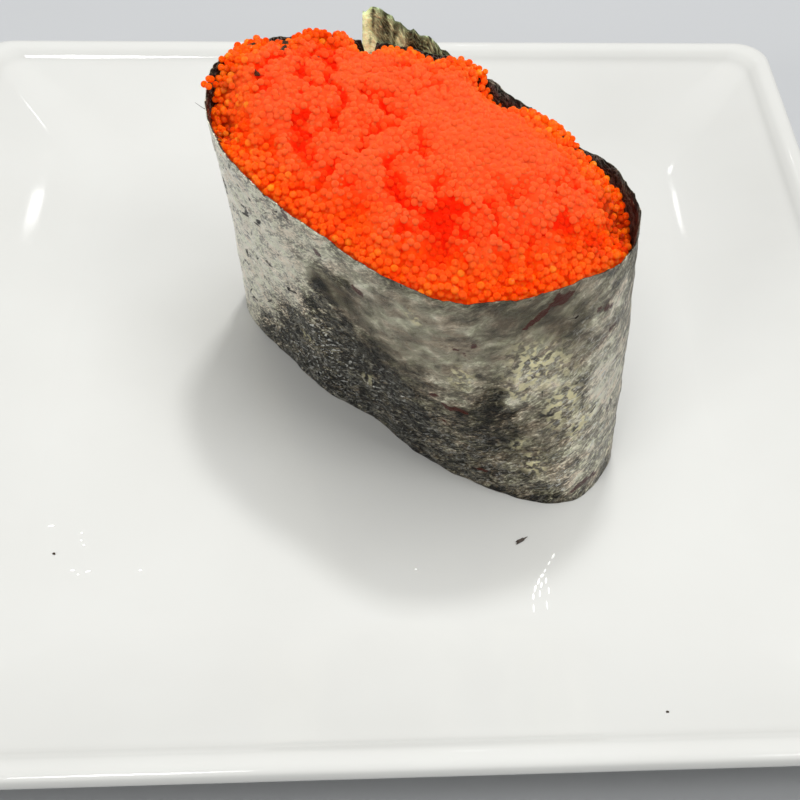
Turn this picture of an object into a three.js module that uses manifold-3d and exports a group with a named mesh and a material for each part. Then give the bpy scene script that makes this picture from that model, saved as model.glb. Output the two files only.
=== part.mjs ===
// A square white dish that carries one gunkan roll: a band of seaweed standing round a heap of
// capelin roe. Millimetres, +Z up. The origin is the middle of the dish on the table.
// +X is the viewer's right and -Y is the side that faces the viewer.

import * as THREE from 'three';
import { mergeVertices } from 'three/addons/utils/BufferGeometryUtils.js';
import Module from 'manifold-3d';

const wasm = await Module();
wasm.setup();

// Dish
const dishSide = 130;
const dishHeight = 15;
const lipWidth = 2.8;
const lipThickness = 2.3;
const lipCornerRadius = 5;
const lipStepDown = 1.5;
const floorHeight = 8.1;
const floorHalfSide = 43.3;
const floorCornerRadius = 9;
const floorThickness = 3.6;
const wallHollow = 1.55;
const footHalfSide = 38;
const footWidth = 3.2;
const footCornerRadius = 9;
const footFlare = 1.5;
const outerSweep = 1.35;
const lipUnderset = 1.7;
const lipCrownInset = 1.25;
const lipCrownDrop = 0.45;
const wallInset = 4.35;
const lipSteps = 6;
const cornerSteps = 6;
const wallSteps = 6;

// Seaweed band: one strip, wrapped once with its end lapped over at the back
const stripHeight = 34.2;
const stripThickness = 0.6;
const rimFall = 0.08;
const rimFallMiddle = new THREE.Vector2(4.2, -1.6);
const rimFallTurn = THREE.MathUtils.degToRad(-36.6);
const bandBelly = 0.2;
const leftPinch = 0.55;
const lapThickness = 0.35;
const lapLength = 20;
const tipRise = 4.2;
const tipLength = 12.2;
const tipLean = 0.8;
const tipTaper = 0.8;
const tipAt = new THREE.Vector2(-2.2, 20.8);
const tipSamples = 600;
const lapEdge = 0.12;
const bandColumns = 84;
const bandRows = 6;

// Plan outlines of the band's outer face, each a squarish oval with shallow waves round it
const hemOutline = {
  middle: new THREE.Vector2(4.0, -2.7),
  turn: THREE.MathUtils.degToRad(-40.8),
  halfLength: 30.35,
  halfWidth: 10.8,
  squareness: 2.96,
  waves: [
    { count: 1, cos: 0.7, sin: 0.02 },
    { count: 2, cos: -0.47, sin: -0.69 },
    { count: 3, cos: 0.48, sin: -0.02 },
    { count: 4, cos: -0.52, sin: -0.36 },
  ],
};
const rimOutline = {
  middle: new THREE.Vector2(4.85, -3.35),
  turn: THREE.MathUtils.degToRad(-38.5),
  halfLength: 27.25,
  halfWidth: 18.5,
  squareness: 1.955,
  waves: [
    { count: 1, cos: -1.51, sin: 1.15 },
    { count: 2, cos: 0.7, sin: -0.26 },
    { count: 3, cos: -0.67, sin: 0.45 },
    { count: 4, cos: -0.32, sin: 0.71 },
    { count: 5, cos: -0.57, sin: 0.23 },
  ],
};
const outlinePoints = 48;

// Roe heap
const gap = 0.3;
const eggPitch = 1.22;
const eggRelief = 0.42;
const eggScatter = 0.11;
const eggSeed = 41;
const heapRise = 4.4;
const heapShoulder = 15;
const heapFlatness = 0.8;
const heapEdgeDrop = 0.5;
const heapHeadroom = 14;
const clumpRelief = 0.3;
const clumpSize = 5.5;
const clumpEdge = 3;
const clumpStretch = 0.9;
const clumpBend = 1.5;
const clumpBendRate = 0.65;

// Hills and hollows of the heap: first those along its edge, from its left end towards the viewer
// and on round its right end and its back, then the valleys and the two broad hills on its top
const heapForms = [
  { at: new THREE.Vector2(-18.7, 4.7), rise: -2.3, reach: 3.2 },
  { at: new THREE.Vector2(28, -9), rise: -3.4, reach: 4.2 },
  { at: new THREE.Vector2(19, 4.5), rise: 1.5, reach: 3.4 },
  { at: new THREE.Vector2(14.2, 10.5), rise: -1.9, reach: 2.8 },
  { at: new THREE.Vector2(10.3, 14.5), rise: 1.6, reach: 3 },
  { at: new THREE.Vector2(1.2, 17.9), rise: 0.7, reach: 3 },
  { at: new THREE.Vector2(-6.5, 18.8), rise: 1.7, reach: 3.2 },
  { at: new THREE.Vector2(-16, 15.8), rise: 1.6, reach: 3.4 },
  { at: new THREE.Vector2(-11, 15.8), rise: -0.6, reach: 1.8 },
  { at: new THREE.Vector2(-9, -3.8), rise: -0.8, reach: 1.8 },
  { at: new THREE.Vector2(-3.3, -12.3), rise: -0.8, reach: 2 },
  { at: new THREE.Vector2(1.6, -9), rise: -0.8, reach: 1.8 },
  { at: new THREE.Vector2(4.7, -4), rise: -0.8, reach: 1.8 },
  { at: new THREE.Vector2(8, -14.4), rise: -0.8, reach: 2.6 },
  { at: new THREE.Vector2(16, -17.2), rise: -0.6, reach: 2.4 },
  { at: new THREE.Vector2(14, 0), rise: 0.7, reach: 7 },
  { at: new THREE.Vector2(-2, 8.5), rise: 0.5, reach: 4.2 },
];

// Repeatable random numbers between 0 and 1
function seededRandom(seed) {
  let state = seed;
  return () => {
    state = (state * 1664525 + 1013904223) % 4294967296;
    return state / 4294967296;
  };
}

// A closed solid from rings of equal length. The rows run so that the outside is on the right of
// the way round. Open row ends get a fan cap, closed ones join the last ring to the first.
function solidOfRings(rings, closed) {
  const count = rings[0].length;
  const positions = rings.flat().flatMap((p) => [p.x, p.y, p.z]);
  const faces = [];
  const rowEnd = closed ? rings.length : rings.length - 1;
  for (let row = 0; row < rowEnd; row++) {
    const low = row * count;
    const high = ((row + 1) % rings.length) * count;
    for (let i = 0; i < count; i++) {
      const next = (i + 1) % count;
      faces.push(low + i, low + next, high + next);
      faces.push(low + i, high + next, high + i);
    }
  }
  if (!closed) {
    addCap(positions, faces, rings[0], 0, true);
    addCap(positions, faces, rings.at(-1), (rings.length - 1) * count, false);
  }
  const geometry = new THREE.BufferGeometry();
  geometry.setAttribute('position', new THREE.Float32BufferAttribute(positions, 3));
  geometry.setIndex(faces);
  return geometry;
}

function addCap(positions, faces, ring, start, facesDown) {
  const middle = new THREE.Vector3();
  ring.forEach((p) => middle.addScaledVector(p, 1 / ring.length));
  const hub = positions.length / 3;
  positions.push(middle.x, middle.y, middle.z);
  for (let i = 0; i < ring.length; i++) {
    const next = (i + 1) % ring.length;
    if (facesDown) {
      faces.push(hub, start + next, start + i);
    } else {
      faces.push(hub, start + i, start + next);
    }
  }
}

// One level of the dish: a square with rounded corners, anticlockwise from above
function squareRing(halfSide, cornerRadius, z) {
  const ring = [];
  const reach = halfSide - cornerRadius;
  for (let corner = 0; corner < 4; corner++) {
    const start = (corner * Math.PI) / 2;
    const centreAngle = start + Math.PI / 4;
    const x = reach * Math.SQRT2 * Math.cos(centreAngle);
    const y = reach * Math.SQRT2 * Math.sin(centreAngle);
    for (let step = 0; step <= cornerSteps; step++) {
      const angle = start + (step / cornerSteps) * (Math.PI / 2);
      ring.push(new THREE.Vector3(
        x + cornerRadius * Math.cos(angle),
        y + cornerRadius * Math.sin(angle),
        z,
      ));
    }
  }
  return ring;
}

// The dish, lofted from the middle of its underside, round the lip, to the middle of its floor
function makeDish() {
  const rings = [];
  const half = dishSide / 2;
  const underFloor = floorHeight - floorThickness;
  const footInner = footHalfSide - footWidth;
  rings.push(squareRing(footInner - footFlare, footCornerRadius - 2, underFloor));
  rings.push(squareRing(footInner, footCornerRadius - 1, 0));
  rings.push(squareRing(footHalfSide, footCornerRadius, 0));
  rings.push(squareRing(footHalfSide + footFlare, footCornerRadius, underFloor));

  // The outer wall sweeps up under the lip
  const lipUnder = dishHeight - lipThickness;
  const outerStart = footHalfSide + footFlare;
  const outerEnd = half - lipUnderset;
  for (let step = 1; step <= wallSteps; step++) {
    const along = step / wallSteps;
    const z = underFloor + (lipUnder - underFloor) * along ** outerSweep;
    const radius = THREE.MathUtils.lerp(footCornerRadius, lipCornerRadius, along);
    rings.push(squareRing(THREE.MathUtils.lerp(outerStart, outerEnd, along), radius, z));
  }

  // The lip is a half round with a flatter top
  const lipMiddle = dishHeight - lipThickness / 2;
  for (let step = 1; step < lipSteps; step++) {
    const angle = -Math.PI / 2 + (step / lipSteps) * Math.PI;
    const out = half - (lipThickness / 2) * (1 - Math.cos(angle));
    rings.push(squareRing(out, lipCornerRadius, lipMiddle + (lipThickness / 2) * Math.sin(angle)));
  }
  rings.push(squareRing(half - lipCrownInset, lipCornerRadius - lipCrownDrop, dishHeight));
  rings.push(squareRing(half - lipWidth, lipCornerRadius - 1, dishHeight - lipCrownDrop));

  // The inner wall drops off the lip and runs out in a long hollow curve to the floor
  const wallTop = dishHeight - lipStepDown;
  const wallStart = half - wallInset;
  for (let step = 0; step <= wallSteps; step++) {
    const along = step / wallSteps;
    const z = floorHeight + (wallTop - floorHeight) * (1 - along) ** wallHollow;
    const radius = THREE.MathUtils.lerp(lipCornerRadius - 1, floorCornerRadius, along);
    rings.push(squareRing(THREE.MathUtils.lerp(wallStart, floorHalfSide, along), radius, z));
  }
  return solidOfRings(rings, false);
}

// A closed plan curve through a squarish oval, starting at its far left end, anticlockwise
function outlineCurve({ middle, turn, halfLength, halfWidth, squareness, waves }) {
  const points = [];
  for (let i = 0; i < outlinePoints; i++) {
    const angle = Math.PI + (i / outlinePoints) * 2 * Math.PI;
    const c = Math.abs(Math.cos(angle) / halfLength) ** squareness;
    const s = Math.abs(Math.sin(angle) / halfWidth) ** squareness;
    let radius = (c + s) ** (-1 / squareness);
    for (const wave of waves) {
      radius += wave.cos * Math.cos(wave.count * angle) + wave.sin * Math.sin(wave.count * angle);
    }
    points.push(new THREE.Vector3(
      middle.x + radius * Math.cos(angle + turn),
      middle.y + radius * Math.sin(angle + turn),
      0,
    ));
  }
  return new THREE.CatmullRomCurve3(points, true);
}

const hemCurve = outlineCurve(hemOutline);
const rimCurve = outlineCurve(rimOutline);
const bandFoot = floorHeight + gap;

// The rim lies in a plane that falls along the roll towards its near right end
function rimLevel(x, y) {
  const across = (x - rimFallMiddle.x) * Math.cos(rimFallTurn);
  const away = (y - rimFallMiddle.y) * Math.sin(rimFallTurn);
  return floorHeight + stripHeight - rimFall * (across + away);
}

// A point of the band's outer face. around is 0 to 1 round the strip, up is 0 at the hem and 1 at
// the rim, and inset is the depth under the outer face.
function bandPoint(around, up, inset) {
  const low = hemCurve.getPointAt(around);
  const high = rimCurve.getPointAt(around);
  const point = new THREE.Vector3().lerpVectors(low, high, up);
  const tangent = new THREE.Vector3()
    .lerpVectors(hemCurve.getTangentAt(around), rimCurve.getTangentAt(around), Math.min(up, 1))
    .normalize();
  const outward = new THREE.Vector3(tangent.y, -tangent.x, 0);
  const belly = bandBelly - leftPinch * (0.5 + 0.5 * Math.cos(2 * Math.PI * around));
  const bulge = belly * Math.sin(Math.PI * THREE.MathUtils.clamp(up, 0, 1));
  const over = Math.max(up - 1, 0) * stripHeight;
  const lean = (tipLean * over) / tipRise;
  point.addScaledVector(outward, bulge + lean - inset);
  point.z = THREE.MathUtils.lerp(bandFoot, rimLevel(high.x, high.y), up);
  return point;
}

// How far round the strip the lapped end lies
function findTip() {
  let best = 0;
  let nearest = Infinity;
  for (let i = 0; i < tipSamples; i++) {
    const at = rimCurve.getPointAt(i / tipSamples);
    const distance = Math.hypot(at.x - tipAt.x, at.y - tipAt.y);
    if (distance < nearest) {
      nearest = distance;
      best = i / tipSamples;
    }
  }
  return best;
}

const stripLength = rimCurve.getLength();
const tipAround = findTip();

// Distance along the strip from its lapped end towards the right, in millimetres
function fromTip(around) {
  const share = (tipAround - around + 1) % 1;
  return share * stripLength;
}

function tipHeight(around) {
  const distance = fromTip(around);
  return distance <= tipLength ? tipRise * (1 - distance / tipLength) ** tipTaper : 0;
}

function lapAt(around) {
  const distance = fromTip(around);
  return distance <= lapLength ? lapThickness * Math.cos((distance / lapLength) * (Math.PI / 2)) : 0;
}

// Columns are even round the strip, with a close pair where the lapped end steps up
function columnPlaces() {
  const places = [];
  for (let i = 0; i < bandColumns; i++) {
    places.push(i / bandColumns);
  }
  const step = lapEdge / stripLength;
  const clear = places.filter((p) => Math.abs(p - tipAround) > 1 / (3 * bandColumns));
  return [...clear, tipAround - step / 2, tipAround + step / 2].sort((a, b) => a - b);
}

// The band: the outer face from hem to rim, then the inner face back down
function makeBand() {
  const places = columnPlaces();
  const rings = [];
  const ringAt = (row, inner) => places.map((around) => {
    const top = 1 + tipHeight(around) / stripHeight;
    const inset = inner ? stripThickness : -lapAt(around);
    return bandPoint(around, (row / bandRows) * top, inset);
  });
  for (let row = 0; row <= bandRows; row++) {
    rings.push(ringAt(row, false));
  }
  for (let row = bandRows; row >= 0; row--) {
    rings.push(ringAt(row, true));
  }
  return solidOfRings(rings, true);
}

// Height of the roe above the rim's level before its clumps and eggs
function heapLevel(x, y, depthInside) {
  const swell = Math.sin((Math.PI / 2) * Math.min(depthInside / heapShoulder, 1)) ** heapFlatness;
  let level = rimLevel(x, y) - heapEdgeDrop + heapRise * swell;
  for (const { at, rise, reach } of heapForms) {
    const distance = Math.hypot(x - at.x, y - at.y) / reach;
    level += rise * Math.exp(-distance * distance);
  }
  const wave = (2 * Math.PI) / clumpSize;
  const across = Math.sin(x * wave + clumpBend * Math.sin(y * wave * clumpBendRate));
  const along = Math.cos(y * wave * clumpStretch + clumpBend * Math.sin(x * wave * clumpBendRate));
  return level + clumpRelief * across * along * Math.min(depthInside / clumpEdge, 1);
}

// A slab whose top is a close lattice of egg-sized bumps: of its points one in three is a peak,
// and the two beside it are the valleys between neighbouring eggs
function makeRoeTop(edge) {
  const random = seededRandom(eggSeed);
  const step = eggPitch / Math.sqrt(3);
  const rowStep = (step * Math.sqrt(3)) / 2;
  const box = new THREE.Box2().setFromPoints(edge);
  box.expandByScalar(2 * step);
  const size = box.getSize(new THREE.Vector2());
  const columns = Math.ceil(size.x / step) + 1;
  const rows = Math.ceil(size.y / rowStep) + 1;
  const positions = [];
  for (let j = 0; j < rows; j++) {
    for (let i = 0; i < columns; i++) {
      const kind = (((i - Math.floor(j / 2) - j) % 3) + 3) % 3;
      const x = box.min.x + (i + 0.5 * (j % 2)) * step + (2 * random() - 1) * eggScatter;
      const y = box.min.y + j * rowStep + (2 * random() - 1) * eggScatter;
      const inside = Math.min(...edge.map((p) => Math.hypot(p.x - x, p.y - y)));
      const peak = kind === 0 ? eggRelief * (1 + 0.5 * (random() - 0.5)) : 0;
      positions.push(x, y, heapLevel(x, y, inside) + peak);
    }
  }
  const faces = [];
  for (let j = 0; j < rows - 1; j++) {
    for (let i = 0; i < columns - 1; i++) {
      const a = j * columns + i;
      const b = a + 1;
      const c = a + columns;
      const d = c + 1;
      if (j % 2 === 0) {
        faces.push(a, b, c, b, d, c);
      } else {
        faces.push(a, d, c, a, b, d);
      }
    }
  }
  const border = [];
  for (let i = 0; i < columns; i++) border.push(i);
  for (let j = 1; j < rows; j++) border.push(j * columns + columns - 1);
  for (let i = columns - 2; i >= 0; i--) border.push((rows - 1) * columns + i);
  for (let j = rows - 2; j > 0; j--) border.push(j * columns);
  const slabFoot = bandFoot - heapRise;
  const first = positions.length / 3;
  for (const at of border) {
    positions.push(positions[at * 3], positions[at * 3 + 1], slabFoot);
  }
  const hub = positions.length / 3;
  const middle = box.getCenter(new THREE.Vector2());
  positions.push(middle.x, middle.y, slabFoot);
  for (let i = 0; i < border.length; i++) {
    const next = (i + 1) % border.length;
    faces.push(border[next], border[i], first + i);
    faces.push(border[next], first + i, first + next);
    faces.push(hub, first + next, first + i);
  }
  const geometry = new THREE.BufferGeometry();
  geometry.setAttribute('position', new THREE.Float32BufferAttribute(positions, 3));
  geometry.setIndex(faces);
  return geometry;
}

function toManifold(geometry) {
  const merged = mergeVertices(geometry, 1e-4);
  return new wasm.Manifold(new wasm.Mesh({
    numProp: 3,
    vertProperties: new Float32Array(merged.attributes.position.array),
    triVerts: new Uint32Array(merged.index.array),
  }));
}

function fromManifold(solid) {
  const { vertProperties, triVerts } = solid.getMesh();
  const geometry = new THREE.BufferGeometry();
  geometry.setAttribute('position', new THREE.Float32BufferAttribute(vertProperties, 3));
  geometry.setIndex([...triVerts]);
  return geometry;
}

// The roe fills the band from the dish up and swells out of its top
function makeRoe() {
  const inset = stripThickness + gap;
  const rings = [];
  for (let row = 0; row <= bandRows + 1; row++) {
    const ring = [];
    for (let i = 0; i < bandColumns; i++) {
      ring.push(bandPoint(i / bandColumns, Math.min(row / bandRows, 1), inset));
    }
    if (row > bandRows) {
      ring.forEach((p) => { p.z += heapHeadroom; });
    }
    rings.push(ring);
  }
  const edge = rings.at(-1).map((p) => new THREE.Vector2(p.x, p.y));
  const filling = toManifold(solidOfRings(rings, false));
  return fromManifold(filling.intersect(toManifold(makeRoeTop(edge))));
}

function named(name, geometry, colour, roughness) {
  geometry.computeVertexNormals();
  const material = new THREE.MeshStandardMaterial({ color: colour, roughness, metalness: 0 });
  const mesh = new THREE.Mesh(geometry, material);
  mesh.name = name;
  return mesh;
}

const plateOfRoe = new THREE.Group();
plateOfRoe.add(named('plate', makeDish(), 0xe9e9e2, 0.18));
plateOfRoe.add(named('nori', makeBand(), 0x3b3c38, 0.42));
plateOfRoe.add(named('roe', makeRoe(), 0xf4471c, 0.3));

export default plateOfRoe;
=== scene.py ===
import math

import bmesh
import bpy
import numpy as np
from mathutils import Matrix, Vector


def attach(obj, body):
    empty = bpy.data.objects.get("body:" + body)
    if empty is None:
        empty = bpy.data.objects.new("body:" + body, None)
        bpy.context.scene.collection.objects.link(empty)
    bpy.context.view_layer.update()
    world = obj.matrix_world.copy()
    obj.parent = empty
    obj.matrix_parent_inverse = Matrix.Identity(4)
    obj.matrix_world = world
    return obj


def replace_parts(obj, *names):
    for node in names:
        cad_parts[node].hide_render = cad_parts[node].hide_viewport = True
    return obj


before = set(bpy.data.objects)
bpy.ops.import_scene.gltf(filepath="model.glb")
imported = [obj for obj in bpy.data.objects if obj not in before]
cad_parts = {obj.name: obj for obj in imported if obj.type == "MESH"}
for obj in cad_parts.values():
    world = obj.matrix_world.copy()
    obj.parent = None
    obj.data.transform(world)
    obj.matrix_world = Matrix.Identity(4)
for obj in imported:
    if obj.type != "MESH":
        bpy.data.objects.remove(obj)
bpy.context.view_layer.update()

# The dish
# A small square dish of white porcelain, pressed with a rounded lip, walls that run out in a long
# hollow curve and a flat floor. It is dipped in a clear white glaze; only the foot ring stays bare.
MM = 0.001
DISH_HALF = 65.0
LIP_TOP = 15.0
LIP_UNDERSIDE = 12.7
LIP_WIDTH = 4.34
LIP_CORNER = 5.0
DISH_FLOOR = 8.1
FLOOR_HALF = 43.3
FLOOR_CORNER = 9.0
UNDERSIDE = 4.5
CORNER_POINTS = 14
DISH_PROFILE_STEPS = 5
BARE_CLAY = (0.6, 0.56, 0.48)


def build_piece(name, points, faces, smooth=True):
    """One mesh object from points in millimetres."""
    mesh = bpy.data.meshes.new(name)
    mesh.from_pydata((np.asarray(points, float) * MM).tolist(), [], faces)
    mesh.validate(clean_customdata=False)
    mesh.polygons.foreach_set("use_smooth", [smooth] * len(mesh.polygons))
    mesh.update()
    piece = bpy.data.objects.new(name, mesh)
    bpy.context.scene.collection.objects.link(piece)
    return piece


def smooth_path(points, steps):
    """A curve through the given points, with that many steps between two of them."""
    p = np.asarray(points, float)
    before = np.vstack([2 * p[0] - p[1], p[:-2], p[-2]])[: len(p) - 1]
    after = np.vstack([p[2:], 2 * p[-1] - p[-2]])
    t = np.linspace(0, 1, steps, endpoint=False)[None, :, None]
    a, b, c, d = before[:, None], p[:-1, None], p[1:, None], after[:, None]
    curve = 0.5 * (
        2 * b
        + (c - a) * t
        + (2 * a - 5 * b + 4 * c - d) * t**2
        + (3 * b - a - 3 * c + d) * t**3
    )
    return np.vstack([curve.reshape(-1, p.shape[1]), p[-1]])


def square_level(half_side, corner, z):
    """One level of the dish, anticlockwise from above."""
    ring = []
    reach = half_side - corner
    for quarter in range(4):
        start = quarter * math.pi / 2
        cx = reach * math.sqrt(2) * math.cos(start + math.pi / 4)
        cy = reach * math.sqrt(2) * math.sin(start + math.pi / 4)
        for angle in np.linspace(start, start + math.pi / 2, CORNER_POINTS):
            ring.append((cx + corner * math.cos(angle), cy + corner * math.sin(angle), z))
    return ring


def dish_levels():
    """Half side, corner radius and height from the middle of the underside to the floor."""
    foot = [(4.0, 2, UNDERSIDE), (20.0, 5, UNDERSIDE), (31.8, 7, UNDERSIDE), (33.3, 7, UNDERSIDE)]
    foot += [(34.4, 8, 0.5), (34.7, 8, 0.12), (35.2, 8, 0), (37.5, 9, 0), (38.0, 9, 0.12)]
    foot += [(38.2, 9, 0.6), (39.3, 9, 4.0), (39.9, 9, 4.7)]
    outer = []
    for along in np.linspace(0.08, 1, 9):
        z = UNDERSIDE + (LIP_UNDERSIDE - UNDERSIDE) * along**1.35
        half = 39.5 + (DISH_HALF - 1.68 - 39.5) * along
        outer.append((half, FLOOR_CORNER + (LIP_CORNER - FLOOR_CORNER) * along, z))
    lip = [(64.45, 5, 12.92), (64.9, 5, 13.45), (DISH_HALF, 5, 13.95), (64.75, 5, 14.6)]
    lip += [(64.25, 4.8, 14.92), (63.5, 4.5, LIP_TOP), (62.5, 4.2, 14.8), (61.6, 4, 14.25)]
    inner = []
    wall_top = DISH_HALF - LIP_WIDTH
    for along in np.linspace(0, 1, 12):
        z = DISH_FLOOR + 5.4 * (1 - along) ** 1.55
        half = wall_top + (FLOOR_HALF - wall_top) * along
        inner.append((half, 4 + (FLOOR_CORNER - 4) * along, z))
    floor = [(41.0, 8.5, DISH_FLOOR), (30.0, 7, DISH_FLOOR), (4.0, 2, DISH_FLOOR)]
    return foot, outer + lip + inner + floor


def ring_faces(rings, size, start=0):
    """Faces between rings of points that lie one over another, closed at both ends."""
    faces = []
    for low in range(start, start + (rings - 1) * size, size):
        for i in range(size):
            j = (i + 1) % size
            faces.append((low + i, low + j, low + size + j, low + size + i))
    last = start + (rings - 1) * size
    faces.append(tuple(reversed(range(start, start + size))))
    faces.append(tuple(range(last, last + size)))
    return faces


foot_levels, wall_levels = dish_levels()
levels = foot_levels + smooth_path(wall_levels, DISH_PROFILE_STEPS).tolist()
dish_points = [p for level in levels for p in square_level(*level)]
dish = build_piece("dish", dish_points, ring_faces(len(levels), 4 * CORNER_POINTS))


def new_material(name):
    """A material, its node tree and its main shader."""
    material = bpy.data.materials.new(name)
    material.use_nodes = True
    tree = material.node_tree
    return material, tree, tree.nodes["Principled BSDF"]


def set_inputs(tree, node, inputs):
    """Gives a node's inputs their links or their plain values."""
    for key, value in inputs.items():
        if isinstance(value, bpy.types.NodeSocket):
            tree.links.new(value, node.inputs[key])
        else:
            node.inputs[key].default_value = value


def add_node(tree, kind, inputs=None, **settings):
    """One node, with its settings and its inputs."""
    node = tree.nodes.new(kind)
    for key, value in settings.items():
        setattr(node, key, value)
    set_inputs(tree, node, inputs or {})
    return node


def colour_ramp(tree, factor, stops, interpolation="LINEAR"):
    """A ramp through the given (place, colour or grey) stops."""
    node = add_node(tree, "ShaderNodeValToRGB", {"Fac": factor})
    ramp = node.color_ramp
    ramp.interpolation = interpolation
    while len(ramp.elements) < len(stops):
        ramp.elements.new(0.5)
    for element, (place, colour) in zip(ramp.elements, stops):
        element.position = place
        shade = (colour,) * 3 if isinstance(colour, (int, float)) else colour
        element.color = (*shade, 1.0)
    return node.outputs["Color"]


def spread(tree, value, low, high, to_low=0.0, to_high=1.0):
    """Stretches a value from one range to another and stops at its ends."""
    limits = {"From Min": low, "From Max": high, "To Min": to_low, "To Max": to_high}
    return add_node(tree, "ShaderNodeMapRange", {"Value": value, **limits}).outputs["Result"]


def mix_colour(tree, factor, a, b, blend="MIX"):
    """One colour over another; the factor is a link or a number, a and b are links or colours."""
    a, b = ((*c, 1.0) if isinstance(c, tuple) else c for c in (a, b))
    inputs = {0: factor, 6: a, 7: b}
    return add_node(tree, "ShaderNodeMix", inputs, data_type="RGBA", blend_type=blend).outputs[2]


glaze, tree, shader = new_material("white_glaze")
place = add_node(tree, "ShaderNodeTexCoord").outputs["Object"]
cloud = add_node(tree, "ShaderNodeTexNoise", {"Vector": place, "Scale": 45.0, "Detail": 3.0})
glaze_tint = colour_ramp(
    tree, cloud.outputs["Fac"], [(0.3, (0.6, 0.6, 0.575)), (0.7, (0.622, 0.624, 0.6))]
)
height = add_node(tree, "ShaderNodeSeparateXYZ", {"Vector": place}).outputs["Z"]
foot_mask = spread(tree, height, 0.0002, 0.0005, 1.0, 0.0)
ripple = add_node(tree, "ShaderNodeTexNoise", {"Vector": place, "Scale": 70.0, "Detail": 1.0})
ripples = {"Height": ripple.outputs["Fac"], "Strength": 0.06, "Distance": 0.002}
glaze_look = {
    "Base Color": mix_colour(tree, foot_mask, glaze_tint, BARE_CLAY),
    "Roughness": spread(tree, foot_mask, 0.0, 1.0, 0.06, 0.7),
    "Normal": add_node(tree, "ShaderNodeBump", ripples).outputs["Normal"],
}
set_inputs(tree, shader, glaze_look)
dish.data.materials.append(glaze)
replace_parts(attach(dish, "root"), "plate")

# The seaweed band
# A strip cut from a dried, toasted sheet of seaweed, 34 mm tall, wrapped once round the roe with
# its torn end lapped over the other at the back. The fibres run along the strip.
STRIP_HEIGHT = 34.2
SHEET = 0.32
WORN_EDGE = 0.6
BAND_FOOT = 8.4
HEM_DROP = 0.25
HEM_SHARE = 0.03
RIM_FALL = 0.08
FALL_TURN = math.radians(-36.6)
FALL_MIDDLE = (4.2, -1.6)
LAP_LENGTH = 20.0
LAP_STEP = 0.35
LAP_GAP = 0.04
TEAR_LENGTH = 12.5
NICK_DEPTH = 2.2
NICK_HALF = 0.9
TIP_AT = (-2.2, 20.8)
TIP_LEAN = 0.8 / 4.2
BELLY = 0.2
LEFT_PINCH = 0.55
BAND_COLUMNS = 500
BAND_ROWS = 96


def oval(middle, turn, half_length, half_width, squareness, waves, count=2880):
    """A squarish oval with shallow waves: places, directions and length round it."""
    angle = math.pi + np.linspace(0, 2 * math.pi, count, endpoint=False)
    along = np.abs(np.cos(angle) / half_length) ** squareness
    across = np.abs(np.sin(angle) / half_width) ** squareness
    radius = (along + across) ** (-1 / squareness)
    for number, cos_part, sin_part in waves:
        radius += cos_part * np.cos(number * angle) + sin_part * np.sin(number * angle)
    x = middle[0] + radius * np.cos(angle + turn)
    y = middle[1] + radius * np.sin(angle + turn)
    places = np.stack([x, y], 1)
    steps = np.linalg.norm(np.roll(places, -1, 0) - places, axis=1)
    share = np.concatenate([[0], np.cumsum(steps)]) / steps.sum()
    ways = np.roll(places, -1, 0) - np.roll(places, 1, 0)
    ways /= np.linalg.norm(ways, axis=1)[:, None]
    closed = np.vstack([places, places[:1]])
    return share, closed, np.vstack([ways, ways[:1]]), steps.sum()


def round_oval(shape, around):
    """Places and directions at the given shares of the way round."""
    share, places, ways, _ = shape
    around = np.asarray(around, float) % 1.0
    place = np.stack([np.interp(around, share, places[:, k]) for k in (0, 1)], -1)
    way = np.stack([np.interp(around, share, ways[:, k]) for k in (0, 1)], -1)
    return place, way


HEM_WAVES = [(1, 0.7, 0.02), (2, -0.47, -0.69), (3, 0.48, -0.02), (4, -0.52, -0.36)]
hem_oval = oval((4.0, -2.7), math.radians(-40.8), 30.35, 10.8, 2.96, HEM_WAVES)
OVAL_WAVES = [(1, -1.51, 1.15), (2, 0.7, -0.26), (3, -0.67, 0.45), (4, -0.32, 0.71), (5, -0.57, 0.23)]
rim_oval = oval((4.85, -3.35), math.radians(-38.5), 27.25, 18.5, 1.955, OVAL_WAVES)
STRIP_LENGTH = rim_oval[3]


def rim_level(x, y):
    """The rim's height, which falls along the roll towards its near right end."""
    across = (x - FALL_MIDDLE[0]) * math.cos(FALL_TURN)
    away = (y - FALL_MIDDLE[1]) * math.sin(FALL_TURN)
    return DISH_FLOOR + STRIP_HEIGHT - RIM_FALL * (across + away)


def band_point(around, up, outward):
    """Points of the band; up is 0 at the hem and 1 at the rim, outward is in millimetres."""
    low, low_way = round_oval(hem_oval, around)
    high, high_way = round_oval(rim_oval, around)
    plan = low + (high - low) * up[..., None]
    way = low_way + (high_way - low_way) * np.clip(up, 0, 1)[..., None]
    way /= np.linalg.norm(way, axis=-1)[..., None]
    out = np.stack([way[..., 1], -way[..., 0]], -1)
    inside = np.clip(up, 0, 1)
    belly = BELLY - LEFT_PINCH * (0.5 + 0.5 * np.cos(2 * math.pi * around))
    lean = TIP_LEAN * np.maximum(up - 1, 0) * STRIP_HEIGHT
    shift = belly * np.sin(math.pi * inside) + lean + outward
    plan = plan + out * shift[..., None]
    z = BAND_FOOT + (rim_level(high[..., 0], high[..., 1]) - BAND_FOOT) * up
    return np.concatenate([plan, z[..., None]], -1)


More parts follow.
